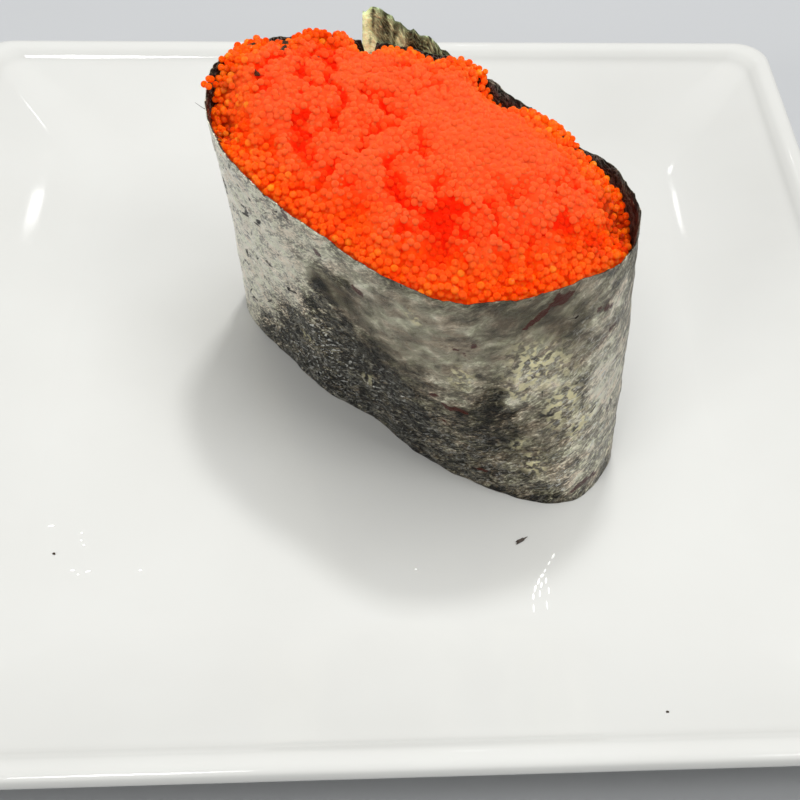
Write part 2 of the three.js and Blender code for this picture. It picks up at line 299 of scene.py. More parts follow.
def drift(x, y, seed):
    """Smooth random hills and hollows between -1 and 1, one unit apart."""
    xi, yi = np.floor(x).astype(np.int64), np.floor(y).astype(np.int64)
    fx, fy = x - xi, y - yi
    fx, fy = fx * fx * (3 - 2 * fx), fy * fy * (3 - 2 * fy)

    def corner(i, j):
        h = (i * 374761393 + j * 668265263 + seed * 974634777) & 0xFFFFFFFF
        h = ((h ^ (h >> 13)) * 1274126177) & 0xFFFFFFFF
        return ((h ^ (h >> 16)) & 0xFFFF) / 32767.5 - 1

    low = corner(xi, yi) * (1 - fx) + corner(xi + 1, yi) * fx
    high = corner(xi, yi + 1) * (1 - fx) + corner(xi + 1, yi + 1) * fx
    return low * (1 - fy) + high * fy


def find_tip():
    """Share of the way round at which the lapped end lies."""
    around = np.linspace(0, 1, 6001)
    place, _ = round_oval(rim_oval, around)
    return around[np.argmin(np.hypot(place[:, 0] - TIP_AT[0], place[:, 1] - TIP_AT[1]))]


tip_around = find_tip()
# Distance from the torn end along the strip, and the height of the tear above the rim
TEAR = [(-0.3, 3.4), (0.2, 3.1), (0.7, 3.5), (1.45, 3.95), (2.3, 3.7), (3.45, 3.2), (4.35, 2.65)]
TEAR += [(5.6, 2.3), (6.4, 1.95), (7.45, 1.8), (8.5, 1.7), (9.45, 1.0), (12.1, 0.1), (13.8, -0.4)]
# Share of the way round, and how far the rim there stands above or below its even level
RIM_WAVES = [(0.0, 0.2), (0.025, 0.2), (0.05, -0.2), (0.1, 0), (0.21, -0.2), (0.265, -0.25)]
RIM_WAVES += [(0.32, 0.25), (0.36, -0.45), (0.42, -0.3), (0.46, 0.3), (0.51, -0.8), (0.535, -0.4)]
RIM_WAVES += [(0.56, 0.15), (0.585, 0.15), (0.6, -0.15), (0.607, 0.2), (0.626, -0.1), (0.65, -0.3)]
RIM_WAVES += [(0.69, 0.1), (0.705, 0.4), (0.725, -0.1), (0.755, -0.1), (0.768, -0.8), (0.785, 0)]
RIM_WAVES += [(0.792, 0.3), (0.83, 0), (0.9, 0.2), (1.0, 0.2)]
# Wrinkles of the sheet: depth, length along the strip, slant, length up the strip and seed
WRINKLES = [(0.12, 3.1, 6, 5, 7), (0.08, 1.3, 4, 1.1, 8), (0.05, 0.7, 2, 0.6, 9)]


def rim_rise(around, from_tip):
    """Height of the strip's upper edge above the even rim, with its tears and nicks."""
    run = around * STRIP_LENGTH
    rise = np.interp(around, *zip(*RIM_WAVES))
    rise = rise + 0.16 * drift(run / 1.4, run * 0, 3) + 0.1 * drift(run / 0.5, run * 0, 4)
    torn = np.interp(from_tip, *zip(*TEAR))
    torn = torn + 0.25 * drift(run / 0.45, run * 0, 5)
    return np.where((from_tip >= -0.3) & (from_tip < TEAR_LENGTH), torn, rise)


def make_band():
    """The strip as one closed sheet, from its inner end to the torn end that laps over it."""
    lap_share = LAP_LENGTH / STRIP_LENGTH
    total = np.linspace(tip_around - lap_share, tip_around + 1, BAND_COLUMNS)
    around = total % 1.0
    run = total * STRIP_LENGTH
    to_end = (tip_around + 1 - total) * STRIP_LENGTH
    from_start = (total - (tip_around - lap_share)) * STRIP_LENGTH
    over = LAP_STEP * np.cos(np.clip(to_end / LAP_LENGTH, 0, 1) * math.pi / 2)
    under = -(SHEET + LAP_GAP) * (1 - np.clip(from_start / LAP_LENGTH, 0, 1))
    rise = rim_rise(around, to_end)
    # The inner end has a nick in which the torn end shows
    before_tear = (tip_around - total) * STRIP_LENGTH
    rise = rise - NICK_DEPTH * np.clip(2 - 2 * np.abs(before_tear / NICK_HALF - 1), 0, 1)
    up = np.linspace(0, 1, BAND_ROWS + 1)
    sheets = []
    for side in (0, 1):
        u, s = np.meshgrid(up, total, indexing="ij")
        height = u * (1 + rise[None, :] / STRIP_HEIGHT)
        height = height - HEM_DROP / STRIP_HEIGHT * (1 - np.clip(u / HEM_SHARE, 0, 1))
        x, y = run[None, :] + 0 * u, height * STRIP_HEIGHT
        crease = 0.2 * drift(x / 8 + y / 20, y / 13, 6) * np.sin(math.pi * u)
        for depth, run_length, slant, rise_length, seed in WRINKLES:
            crease = crease + depth * drift(x / run_length + y / slant, y / rise_length, seed)
        folds = 0.22 * drift(to_end / 0.8, to_end * 0, 10) * (to_end < 12)
        crease = crease + folds[None, :] * np.clip((y - STRIP_HEIGHT + 0.5) / 1.5, 0, 1)
        thick = SHEET * (1 - WORN_EDGE * np.clip((u - 0.985) / 0.015, 0, 1))
        shift = (over + under)[None, :] + crease - (thick if side else 0)
        sheets.append(band_point(s % 1.0, height, shift))
    outer, inner = sheets
    rows, columns = outer.shape[:2]
    points = np.concatenate([outer.reshape(-1, 3), inner.reshape(-1, 3)])
    index = np.arange(rows * columns).reshape(rows, columns)
    back = index + rows * columns

    def quads(a, b, c, d):
        return np.stack([a.ravel(), b.ravel(), c.ravel(), d.ravel()], 1).tolist()

    faces = quads(index[:-1, :-1], index[:-1, 1:], index[1:, 1:], index[1:, :-1])
    faces += quads(back[:-1, :-1], back[1:, :-1], back[1:, 1:], back[:-1, 1:])
    faces += quads(index[-1, :-1], index[-1, 1:], back[-1, 1:], back[-1, :-1])
    faces += quads(index[0, :-1], back[0, :-1], back[0, 1:], index[0, 1:])
    faces += quads(index[:-1, 0], index[1:, 0], back[1:, 0], back[:-1, 0])
    faces += quads(index[:-1, -1], back[:-1, -1], back[1:, -1], index[1:, -1])
    flat = np.stack([np.tile(run, rows), np.repeat(up, columns) * STRIP_HEIGHT], 1)
    return points, faces, np.concatenate([flat, flat])


band_points, band_faces, band_flat = make_band()
band = build_piece("seaweed_band", band_points, band_faces)
flat_map = band.data.uv_layers.new(name="sheet")
corner_points = np.zeros(len(band.data.loops), np.int64)
band.data.loops.foreach_get("vertex_index", corner_points)
flat_map.data.foreach_set("uv", (band_flat[corner_points] * 0.01).ravel())

# Patches of the sheet, each a soft ellipse: share of the way round, share of the height, half
# length and half height in millimetres, slant in degrees and the strength that it blends towards.
# The tone is partly the sheet's own, partly painted reflection of the bright dish and its shadow.
SHEET_TONES_AND_REFLECTIONS = [
    (0.07, 0.75, 15, 30, 0, 1.04),
    (0.14, 0.8, 11, 11, 10, 1.07),
    (0.21, 0.95, 12, 5, 0, 0.82),
    (0.335, 0.76, 11, 9, 0, 0.65),
    (0.31, 0.5, 5, 4, 0, 0.48),
    (0.19, 0.08, 15, 5, 10, -0.08),
    (0.2, 0.27, 10, 6, 22, -0.06),
    (0.26, 0.38, 8, 5.5, -6, -0.02),
    (0.3, 0.15, 8, 8, 0, 0.0),
    (0.223, 0.56, 3.5, 2.2, 20, 0.09),
    (0.243, 0.74, 3.6, 2.7, 8, 0.38),
    (0.225, 0.68, 1.6, 1.6, 40, 0.1),
    (0.258, 0.8, 1.5, 1.2, 0, 0.2),
    (0.365, 0.35, 5.5, 4, 0, 0.33),
    (0.36, 0.12, 5, 3.5, 0, 0.18),
    (0.393, 0.4, 3, 7, 0, 0.14),
    (0.41, 0.12, 4, 4, 0, 0.42),
    (0.43, 0.02, 9, 1.6, 0, 0.14),
    (0.475, 0.84, 5.0, 7.0, 0, 0.6),
    (0.505, 0.5, 5, 15, 0, 0.62),
    (0.49, 0.52, 3, 5, 0, 1.0),
    (0.48, 0.2, 4.5, 6.5, 0, 0.72),
    (0.425, 0.64, 4, 5, 20, 0.63),
    (0.45, 0.87, 3.5, 4.5, 20, 0.44),
    (0.445, 0.42, 2.5, 5, 0, 0.5),
    (0.365, 0.6, 2.5, 3, 0, 0.56),
    (0.285, 0.83, 1.6, 1.2, 0, 0.82),
    (0.33, 0.79, 2.0, 1.6, 0, 0.78),
    (0.507, 0.82, 1.8, 2.6, 0, 0.74),
    (0.412, 0.53, 1.8, 1.8, 0, 0.76),
]
SHEET_MOTTLES = [
    (0.427, 0.69, 3.4, 3.4, 40, 1.0),
    (0.415, 0.56, 1.4, 1.6, 0, 0.8),
    (0.447, 0.48, 1.6, 3.4, -20, 0.85),
    (0.465, 0.36, 1.4, 2.6, -30, 0.8),
    (0.365, 0.61, 1.8, 1.8, 0, 0.75),
    (0.43, 0.2, 1.6, 2, 0, 0.8),
    (0.41, 0.31, 1.0, 1.4, 0, 0.5),
    (0.327, 0.84, 0.9, 1.0, 0, 0.8),
    (0.306, 0.965, 0.7, 0.5, 40, 0.6),
    (0.253, 0.28, 0.8, 1.8, -30, 0.5),
    (0.185, 0.28, 1.6, 1.6, 30, 0.45),
]
# Painted highlights: patches where small near-white flecks go into the sheet's colour.
SHEET_GLINTS = [
    (0.2, 0.2, 13, 7, 15, 0.4),
    (0.28, 0.22, 9, 8, 0, 0.3),
    (0.38, 0.15, 8, 5, 0, 0.3),
    (0.13, 0.5, 7, 12, 20, 0.3),
    (0.49, 0.4, 6, 14, 0, 0.65),
    (0.45, 0.13, 1.1, 2.2, -10, 1.0),
    (0.49, 0.56, 1.4, 3.0, 0, 0.8),
    (0.455, 0.45, 1.6, 4.0, 0, 0.5),
    (0.217, 0.33, 2.4, 2.6, 25, 0.9),
    (0.195, 0.41, 1.6, 0.6, 35, 0.9),
    (0.256, 0.27, 0.9, 1.2, -30, 0.8),
    (0.3075, 0.32, 0.5, 0.4, 40, 1.0),
    (0.26, 0.18, 1.6, 1.2, 30, 0.6),
    (0.19, 0.13, 5, 2.4, 10, 0.6),
    (0.43, 0.67, 2.4, 2.4, 0, 0.5),
    (0.11, 0.26, 1.6, 2.4, -20, 0.5),
]
SHEET_BROWNS = [
    (0.424, 0.9, 2.1, 0.4, 38, 1.0),
    (0.445, 0.958, 1.6, 0.6, 10, 1.0),
    (0.357, 0.43, 1.9, 0.42, -4, 1.0),
    (0.339, 0.465, 0.5, 0.4, 0, 0.9),
    (0.235, 0.885, 0.5, 0.9, 20, 1.0),
    (0.272, 0.825, 1.0, 0.5, -10, 0.9),
    (0.375, 0.8, 0.45, 0.6, 0, 0.8),
    (0.205, 0.98, 0.6, 0.8, 0, 0.8),
    (0.47, 0.06, 1.6, 0.5, 25, 0.8),
    (0.487, 0.06, 1.2, 0.4, -30, 0.8),
    (0.378, 0.1, 1.4, 0.35, 5, 0.7),
    (0.347, 0.33, 0.5, 0.35, 0, 0.6),
    (0.495, 0.74, 1.6, 0.3, 30, 0.7),
    (0.362, 0.755, 1.4, 0.25, -35, 0.7),
    (0.488, 0.85, 1.8, 0.3, -5, 0.8),
]
# Where the sheet is crisp and full of small holes, against where it lies smooth and cloudy
SHEET_CRISP = [
    (0.13, 0.5, 16, 30, 0, 1.0),
    (0.19, 0.25, 14, 9, 10, 0.8),
    (0.27, 0.3, 7, 8, 0, 0.6),
    (0.34, 0.72, 14, 9, 0, 0.05),
    (0.36, 0.45, 7, 5, 0, 0.35),
    (0.24, 0.72, 5, 3, 0, 0.0),
    (0.33, 0.2, 5, 7, 0, 0.6),
    (0.47, 0.45, 12, 18, 0, 0.6),
    (0.43, 0.86, 8.5, 7.5, 0, 0.08),
    (0.42, 0.3, 4.5, 5, 0, 0.35),
    (0.43, 0.6, 4, 5, 0, 0.4),
]


def along_slant(x, y, slant):
    """Places measured along and across a direction that is turned by that many degrees."""
    c, n = math.cos(math.radians(slant)), math.sin(math.radians(slant))
    return x * c + y * n, y * c - x * n


def blend_patches(patches, start, softness, wander):
    """A smooth field over the sheet that starts even and takes up one patch after another."""
    field = np.full(len(sheet_run), start)
    stray_x = wander * drift(sheet_run / (4 * wander), sheet_height / (4 * wander), 31)
    stray_y = wander * drift(sheet_run / (4 * wander), sheet_height / (4 * wander), 32)
    for at, up, half_length, half_height, slant, strength in patches:
        x = (sheet_run - (at - 0.5) * STRIP_LENGTH) % STRIP_LENGTH - STRIP_LENGTH / 2 + stray_x
        y = sheet_height - up * STRIP_HEIGHT + stray_y
        along, across = along_slant(x, y, slant)
        reach = np.hypot(along / half_length, across / half_height)
        field = field + (strength - field) * (0.5 - 0.5 * np.tanh((reach - 1) / (2 * softness)))
    return field


def set_points(piece, name, values):
    """Keeps one number for each point of a mesh, for its material."""
    layer = piece.data.attributes.new(name, "FLOAT", "POINT")
    layer.data.foreach_set("value", np.asarray(values, np.float32))


sheet_run = (band_flat[:, 0] / STRIP_LENGTH) % 1.0 * STRIP_LENGTH
sheet_height = band_flat[:, 1]
inner_side = np.arange(len(band_flat)) >= len(band_flat) // 2
# The outer side's tone carries painted reflection of the bright dish and of the roll's shadow.
sheet_tone_and_reflection = np.where(inner_side, -0.1, blend_patches(SHEET_TONES_AND_REFLECTIONS, 0.4, 0.14, 1.3))
sheet_mottle = np.where(inner_side, 0.0, blend_patches(SHEET_MOTTLES, 0.0, 0.2, 1.0))
# The torn end stands clear of the roe: pale and yellowish at its very edge, streaked grey behind
to_torn_end = (tip_around + 1) * STRIP_LENGTH - band_flat[:, 0]
clear_depth = np.where(inner_side, 7.0, 2.0)
stands_clear = np.clip((sheet_height - STRIP_HEIGHT + clear_depth) / 1.5, 0, 1)
stands_clear = stands_clear * (to_torn_end < TEAR_LENGTH + 1.5)
wrinkles = drift(to_torn_end / 0.45, sheet_height / 3, 41)
edge_strip = np.clip((1.7 - to_torn_end + 0.5 * wrinkles) / 0.6, 0, 1)
torn_tone = 0.4 + 0.4 * wrinkles + 0.5 * edge_strip
sheet_tone_and_reflection = sheet_tone_and_reflection + (torn_tone - sheet_tone_and_reflection) * stands_clear
sheet_mottle = sheet_mottle + (0.75 * edge_strip - sheet_mottle) * stands_clear
set_points(band, "tone_and_reflection", sheet_tone_and_reflection)
set_points(band, "mottle", sheet_mottle)
set_points(band, "glint", blend_patches(SHEET_GLINTS, 0.0, 0.2, 1.0))
set_points(band, "crisp", blend_patches(SHEET_CRISP, 0.5, 0.2, 1.0))
set_points(band, "brown", blend_patches(SHEET_BROWNS, 0.0, 0.1, 0.3))
set_points(band, "torn", stands_clear)
# The torn end is so thin that the light behind it shines through
shines = stands_clear * np.clip(edge_strip + 0.35 * wrinkles, 0, 1) * np.where(inner_side, 1, 0.3)
set_points(band, "shines", shines)

seaweed, tree, shader = new_material("seaweed")
flat = add_node(tree, "ShaderNodeUVMap", uv_map="sheet").outputs["UV"]


def stretched_noise(tree, vector, size, stretch, slant, detail=3.0, bend=0.0, crisp=0.5):
    """Noise drawn out along a slant over the sheet; size in millimetres across the grain."""
    turn = {"Vector": vector, "Rotation": (0, 0, math.radians(-slant))}
    turned = add_node(tree, "ShaderNodeMapping", turn).outputs["Vector"]
    draw = {"Vector": turned, "Scale": (100 / (size * stretch), 100 / size, 1)}
    drawn = add_node(tree, "ShaderNodeMapping", draw).outputs["Vector"]
    look = {"Scale": 1.0, "Detail": detail, "Roughness": crisp, "Distortion": bend}
    return add_node(tree, "ShaderNodeTexNoise", {"Vector": drawn, **look}).outputs["Fac"]


def math_node(tree, operation, *values):
    """One sum; each value is a link or a number."""
    inputs = dict(enumerate(values))
    return add_node(tree, "ShaderNodeMath", inputs, operation=operation).outputs[0]


def threads(tree, vector, size, stretch, slant, width):
    """Thin curved lines, where a drawn-out noise passes through its middle."""
    field = stretched_noise(tree, vector, size, stretch, slant, 3.0, 0.6)
    away = math_node(tree, "ABSOLUTE", math_node(tree, "SUBTRACT", field, 0.5))
    return spread(tree, away, 0.0, width, 1.0, 0.0)


def kept_value(tree, name):
    """The number kept on the mesh's points under that name."""
    return add_node(tree, "ShaderNodeAttribute", attribute_name=name).outputs["Fac"]


SHEET_GREYS = [
    (0.0, (0.007, 0.0065, 0.005)),
    (0.2, (0.036, 0.031, 0.021)),
    (0.45, (0.155, 0.132, 0.088)),
    (0.7, (0.42, 0.38, 0.275)),
    (1.0, (0.95, 0.9, 0.72)),
]
SHEET_HUES = [(0.36, (0.96, 1.01, 0.95)), (0.5, 1.0), (0.64, (1.07, 0.98, 0.96))]
PALE_THREAD = (0.4, 0.39, 0.33)
YELLOW_FLECK = (1.0, 0.92, 0.56)
HOLE_EDGE = (0.45, 0.42, 0.33)
HOLE = (0.02, 0.014, 0.009)
GLINT = (1.0, 1.0, 0.94)
BRICK_BROWN = (0.08, 0.015, 0.007)
TORN_TINT = (0.75, 1.0, 0.7)
LIT_THROUGH = (0.62, 0.66, 0.36)

# The tone, with its painted reflection of the dish and of the roll's shadow, sets the sheet's grey.
tone_and_reflection = kept_value(tree, "tone_and_reflection")
crisp = kept_value(tree, "crisp")
felt = threads(tree, flat, 1.5, 2.2, 24, 0.028)
for size, stretch, slant, width in ((1.1, 2.4, -20, 0.028), (1.3, 2.0, 55, 0.025)):
    felt = math_node(tree, "MAXIMUM", felt, threads(tree, flat, size, stretch, slant, width))
patchy = spread(tree, stretched_noise(tree, flat, 2.6, 1.6, 20, 2.0), 0.42, 0.58, 0.15, 1.0)
felt = math_node(tree, "MULTIPLY", math_node(tree, "MULTIPLY", felt, crisp), patchy)
cloudy = stretched_noise(tree, flat, 2.2, 1.6, 22, 4.0, 0.5)
shreds = stretched_noise(tree, flat, 0.95, 2.2, 30, 8.0, 0.7, 0.68)
grain = stretched_noise(tree, flat, 0.3, 2.2, 30, 3.0, 0.4, 0.6)
cloud_part = spread(tree, cloudy, 0.25, 0.75, -0.46, 0.46)
cloud_part = math_node(tree, "MULTIPLY", cloud_part, spread(tree, crisp, 0.0, 1.0, 0.6, 1.0))
shred_part = spread(tree, shreds, 0.3, 0.7, -0.5, 0.5)
shred_part = math_node(tree, "MULTIPLY", shred_part, spread(tree, crisp, 0.0, 1.0, 0.1, 1.3))
grain_part = math_node(tree, "MULTIPLY", spread(tree, grain, 0.48, 0.72, -0.15, 1.0), crisp)
uneven_tone_and_reflection = math_node(tree, "ADD", math_node(tree, "ADD", tone_and_reflection, cloud_part), shred_part)
uneven_tone_and_reflection = math_node(tree, "ADD", uneven_tone_and_reflection, grain_part)
sheet_grey = colour_ramp(tree, uneven_tone_and_reflection, SHEET_GREYS)
hue_field = stretched_noise(tree, flat, 2.0, 1.5, 10, 3.0, 0.5)
sheet_hue = colour_ramp(tree, hue_field, SHEET_HUES)
sheet_grey = mix_colour(tree, 1.0, sheet_grey, sheet_hue, "MULTIPLY")
pale_threads = mix_colour(tree, 1.0, sheet_grey, PALE_THREAD, "ADD")
sheet_tint = mix_colour(tree, math_node(tree, "MULTIPLY", felt, 0.8), sheet_grey, pale_threads)
mottle_field = stretched_noise(tree, flat, 0.85, 1.2, 40, 1.5, 0.2, 0.5)
mottle_spots = spread(tree, mottle_field, 0.48, 0.57)
mottles = math_node(tree, "MULTIPLY", mottle_spots, kept_value(tree, "mottle"))
sheet_tint = mix_colour(tree, mottles, sheet_tint, YELLOW_FLECK)
# Small holes of all sizes: their edges are pale and their middles black
pit_field = stretched_noise(tree, flat, 1.3, 2.4, 34, 3.0, 0.9, 0.5)
pit_field = math_node(tree, "ADD", pit_field, spread(tree, crisp, 0.5, 1.0, 0.1, 0.0))
pit_rims = math_node(tree, "MULTIPLY", spread(tree, pit_field, 0.44, 0.4), 0.35)
sheet_tint = mix_colour(tree, pit_rims, sheet_tint, HOLE_EDGE)
pit_spots = spread(tree, pit_field, 0.39, 0.34)
sheet_tint = mix_colour(tree, pit_spots, sheet_tint, HOLE)
# Painted highlights: near-white flecks mixed into the colour within the glint patches.
glint_field = stretched_noise(tree, flat, 0.42, 2.2, 34, 3.0, 0.8, 0.6)
glint_spots = spread(tree, glint_field, 0.57, 0.63)
glints = math_node(tree, "MULTIPLY", glint_spots, kept_value(tree, "glint"))
sheet_tint = mix_colour(tree, glints, sheet_tint, GLINT)
brown_edge = stretched_noise(tree, flat, 0.5, 1.5, 20, 4.0, 0.5, 0.65)
brown_edge = spread(tree, brown_edge, 0.3, 0.7, -0.45, 0.45)
browned = math_node(tree, "ADD", kept_value(tree, "brown"), brown_edge)
sheet_tint = mix_colour(tree, spread(tree, browned, 0.3, 0.6), sheet_tint, BRICK_BROWN)
greened = mix_colour(tree, 1.0, sheet_tint, TORN_TINT, "MULTIPLY")
sheet_tint = mix_colour(tree, kept_value(tree, "torn"), sheet_tint, greened)
dullness = spread(tree, crisp, 0.0, 1.0, 0.45, 0.2)
dry_sheen = math_node(tree, "SUBTRACT", spread(tree, tone_and_reflection, 0.3, 0.9), pit_spots)
shine_tint = mix_colour(tree, kept_value(tree, "shines"), (0.0, 0.0, 0.0), LIT_THROUGH)
shred_gaps = colour_ramp(tree, shreds, [(0.35, 0.3), (0.6, 1.0)])
relief = math_node(tree, "ADD", math_node(tree, "MULTIPLY", felt, 0.35), grain)
relief = math_node(tree, "ADD", relief, math_node(tree, "MULTIPLY", shreds, 2.2))
relief = math_node(tree, "SUBTRACT", relief, math_node(tree, "MULTIPLY", pit_spots, 0.8))
bump = add_node(tree, "ShaderNodeBump", {"Height": relief, "Strength": 1.0, "Distance": 0.0004})
seaweed_look = {
    "Base Color": sheet_tint,
    "Roughness": dullness,
    "Specular IOR Level": 0.14,
    "Coat Weight": dry_sheen,
    "Coat Roughness": 0.3,
    "Coat IOR": 1.75,
    "Emission Color": mix_colour(tree, 1.0, shine_tint, shred_gaps, "MULTIPLY"),
    "Emission Strength": 0.7,
    "Normal": bump.outputs["Normal"],
    "Coat Normal": bump.outputs["Normal"],
}
set_inputs(tree, shader, seaweed_look)
band.data.materials.append(seaweed)
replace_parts(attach(band, "root"), "nori")

# The roe
# Capelin eggs, 0.86 mm across, salted and dyed orange red, heaped with a spoon into the band.
# They stick in clumps, so the heap has soft hills, valleys with painted deep red shade and a looser
# edge.
EGG_RADIUS = 0.43
EGG_SQUEEZE = 0.86
ROE_INSET = 0.9
HEAP_RISE = 4.4
HEAP_SHOULDER = 15.0
EGG_DEPTH = 1.2
EDGE_DROP = 0.66
TEAR_DIP = 1.8
BATCH = 4000
CHOICES = 8
MISSES_ALLOWED = 400
# Share of the way round, and how far the roe's edge there lies above or below the rim
HEAP_EDGE = [(0.0, 1.6), (0.015, 1.0), (0.035, 0.2), (0.05, -1.6), (0.08, -2.2), (0.1, -1.4)]
HEAP_EDGE += [(0.12, -0.2), (0.16, 0.2), (0.3, 0.2), (0.45, 0.3), (0.49, 0.3), (0.51, -0.3)]
HEAP_EDGE += [(0.53, -1.6), (0.56, -3.0), (0.585, -1.6), (0.61, -0.2), (0.64, 0.2), (0.655, 0.9)]
HEAP_EDGE += [(0.67, 1.8), (0.7, 1.5), (0.71, -0.4), (0.725, -1.6), (0.745, -1.6), (0.755, -0.2)]
HEAP_EDGE += [(0.765, 1.7), (0.79, 1.8), (0.8, 0.4), (0.815, 0.2), (0.83, 1.0), (0.86, 0.8)]
HEAP_EDGE += [(0.873, -0.4), (0.89, 1.4), (0.918, 2.1), (0.945, 0.2), (0.97, 1.9), (1.0, 1.6)]
EDGE_REACH = 3.5
# Soft mounds and valleys of the top: plan place, rise, half length, half width and slant
HEAP_MOUNDS = [
    (-11.0, 15.8, -0.8, 2.8, 0.9, -52),
    (-6.5, 11.3, -0.6, 2.3, 0.9, -62),
    (-5.3, -0.4, -0.8, 1.6, 0.7, -68),
    (1.5, 1.8, -0.8, 1.6, 0.9, -30),
    (4.7, -4.0, -0.9, 2.5, 1.0, -85),
    (-9.0, -3.8, -0.9, 2.6, 0.9, -62),
    (-3.7, -9.2, -0.8, 1.0, 0.9, 0),
    (-3.3, -12.3, -0.8, 2.2, 1.6, 0),
    (1.7, -10.2, -1.15, 3.0, 1.0, -72),
    (8.0, -14.4, -0.5, 3.4, 1.6, -15),
    (5.8, -18.1, -0.9, 2.3, 1.2, 15),
    (16.0, -17.2, -0.35, 2.6, 2.0, -20),
    (13.0, -22.0, -0.6, 1.4, 0.9, 0),
    (-13.0, -3.0, -0.5, 1.4, 1.0, 0),
    (21.0, -14.5, -0.3, 1.5, 1.2, 0),
    (27.0, -10.5, -0.8, 2.6, 1.4, -80),
    (-18.0, 2.8, -0.9, 2.6, 1.4, -70),
    (14.0, 0.0, 0.7, 9.0, 6.0, -43),
    (-2.0, 8.5, 0.5, 4.0, 4.5, 0),
    (-1.5, -5.5, 0.5, 2.4, 2.4, 0),
    (-14.0, 8.0, 0.3, 3.0, 3.0, 0),
    (12.5, -17.8, 0.5, 1.6, 1.2, 0),
    (4.8, -13.0, 0.4, 1.0, 0.9, 0),
]
# Where the roe lies thin against the dark sheet: plan place, half length, half width, slant, strength
ROE_SHADES = [
    (27.6, -9.5, 4.2, 2.4, -75, 1.0),
    (24.0, -15.5, 2.6, 1.4, 40, 0.5),
    (-18.6, 4.0, 3.4, 1.3, -75, 1.0),
    (-18.6, 10.0, 5.0, 1.6, 85, 0.7),
    (-14.0, 17.2, 4.2, 1.5, 20, 0.7),
    (-6.0, 18.6, 4.0, 1.2, 0, 0.5),
    (14.6, 10.4, 3.6, 1.0, -45, 0.6),
    (25.0, -1.5, 4.0, 0.9, -50, 0.5),
]


def roe_shade(x, y):
    """How much of the dark sheet shows through the eggs, 0 to 1."""
    shade = np.zeros(np.shape(x))
    for at_x, at_y, half_length, half_width, slant, strength in ROE_SHADES:
        along, across = along_slant(x - at_x, y - at_y, slant)
        reach = (along / half_length) ** 2 + (across / half_width) ** 2
        shade = np.maximum(shade, strength * np.exp(-(reach**2)))
    return shade


def rim_distance(x, y):
    """Distance inside the band's outer face at the rim, and the nearest share of the way round."""
    places = rim_oval[1][:-1:6]
    ways = rim_oval[2][:-1:6]
    gap = np.hypot(x[..., None] - places[:, 0], y[..., None] - places[:, 1])
    near = gap.argmin(-1)
    out = (x - places[near, 0]) * ways[near, 1] - (y - places[near, 1]) * ways[near, 0]
    return np.where(out > 0, -gap.min(-1), gap.min(-1)), rim_oval[0][:-1:6][near]


def mound_rise(x, y):
    """Height that the mounds and valleys add."""
    rise = np.zeros(np.shape(x))
    for at_x, at_y, height, half_length, half_width, slant in HEAP_MOUNDS:
        along, across = along_slant(x - at_x, y - at_y, slant)
        rise = rise + height * np.exp(-((along / half_length) ** 2) - (across / half_width) ** 2)
    return rise


def lump_rise(x, y):
    """Height of the small clumps in which the eggs stick together."""
    return 0.4 * drift(x / 2.2, y / 2.2, 21) + 0.22 * drift(x / 1.2, y / 1.2, 22)


def crack_depth(x, y):
    """How deep the narrow valleys between the clumps are, 0 to 1; the broad hill has few."""
    bent_x = x + 0.8 * drift(x / 1.7, y / 1.7, 25)
    bent_y = y + 0.8 * drift(x / 1.7, y / 1.7, 26)
    field = drift(bent_x / 3.6, bent_y / 3.6, 27) + 0.35 * drift(bent_x / 1.6, bent_y / 1.6, 28)
    smooth_hill = np.exp(-(((x - 12) ** 2 + (y + 1) ** 2) / 130) ** 2)
    return 1.15 * np.exp(-((field / 0.2) ** 2)) * (1 - 0.9 * smooth_hill)


def valley_shade(x, y):
    """How deep a place lies in the valleys, for the painted shade in the eggs' colour."""
    return 1.05 * crack_depth(x, y) - 0.95 * mound_rise(x, y)


def egg_looseness(inside):
    """How loose and clear the eggs lie, 1 at the rim and 0 well inside it."""
    return 1 - np.clip((inside - 1.4) / 5, 0, 1)


def heap_level(x, y, inside, around):
    """Height of the roe's surface."""
    swell = np.sin(math.pi / 2 * np.clip(inside / HEAP_SHOULDER, 0, 1)) ** 0.8
    edge = np.interp(around, *zip(*HEAP_EDGE)) - EDGE_DROP
    past_tear = (around - tip_around) * STRIP_LENGTH
    edge = edge - TEAR_DIP * np.exp(-(((past_tear + 1.0) / 1.6) ** 2))
    level = rim_level(x, y) + HEAP_RISE * swell
    level = level + edge * np.exp(-((np.maximum(inside - ROE_INSET, 0) / EDGE_REACH) ** 2))
    relief = mound_rise(x, y) + lump_rise(x, y) - 0.6 * crack_depth(x, y)
    return level + relief * np.clip(inside / 2, 0, 1)


